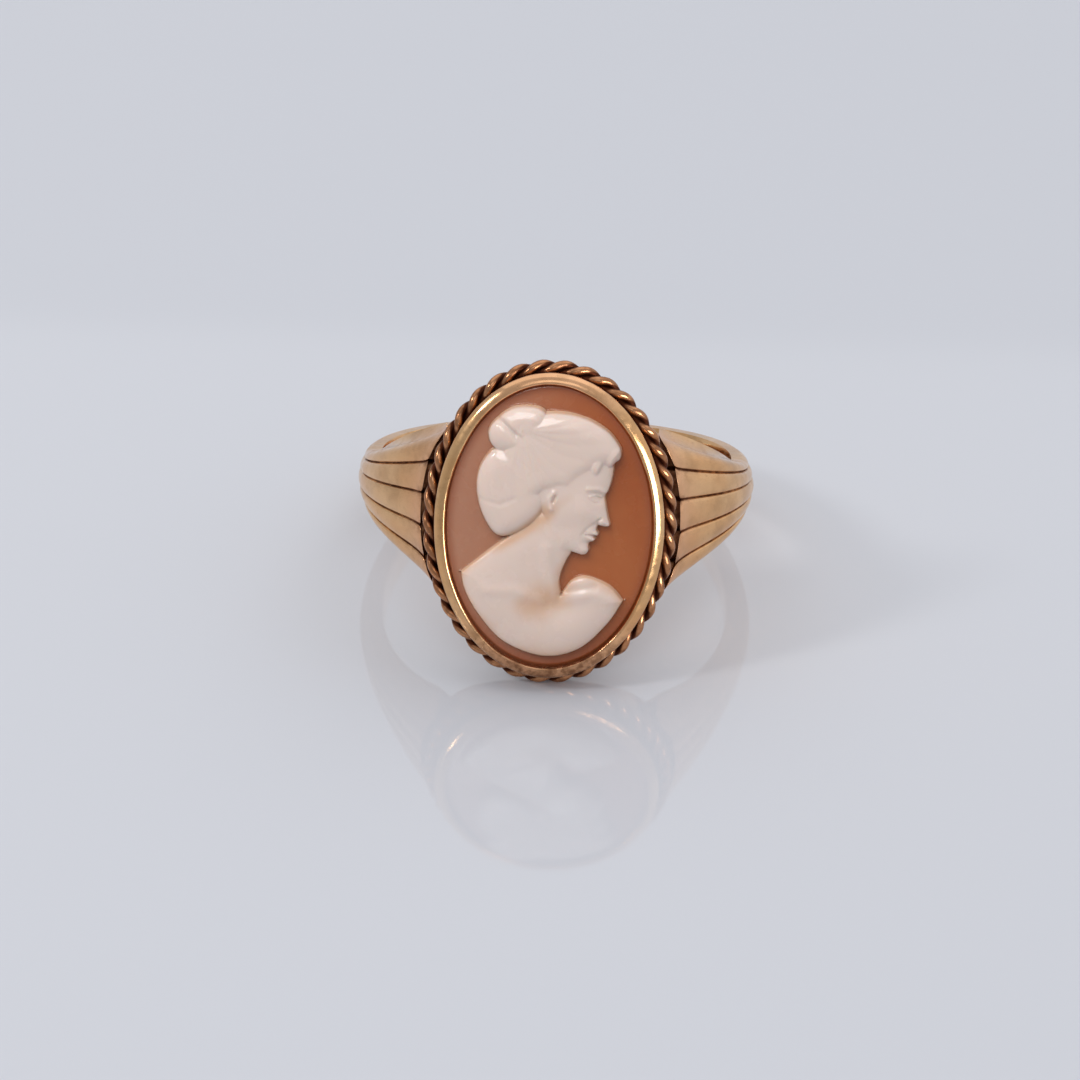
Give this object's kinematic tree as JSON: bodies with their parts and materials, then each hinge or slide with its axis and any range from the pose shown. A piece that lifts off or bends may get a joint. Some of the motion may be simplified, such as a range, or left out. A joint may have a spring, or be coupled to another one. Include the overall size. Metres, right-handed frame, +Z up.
{
  "type": "cameo ring",
  "caption": "Finger ring with an oval shell cameo in a rubbed-over bezel, twisted rope border, fluted shoulders and a tapering shank, lying on its side.",
  "frame": {"origin": "middle of the ring's footprint on the surface it lies on", "axes": "+Z up, head towards -Y, finger axis leaning back from +Z towards +Y by the angle at which the ring rests"},
  "size_m": [0.019, 0.021, 0.0147],
  "materials": {
    "gold": "polished rose-yellow gold, oxidised in the grooves",
    "shell": "satin carved shell, cream bust on an orange-brown ground"
  },
  "bodies": {
    "root": {"setting": "gold", "cameo": "shell"}
  },
  "joints": []
}
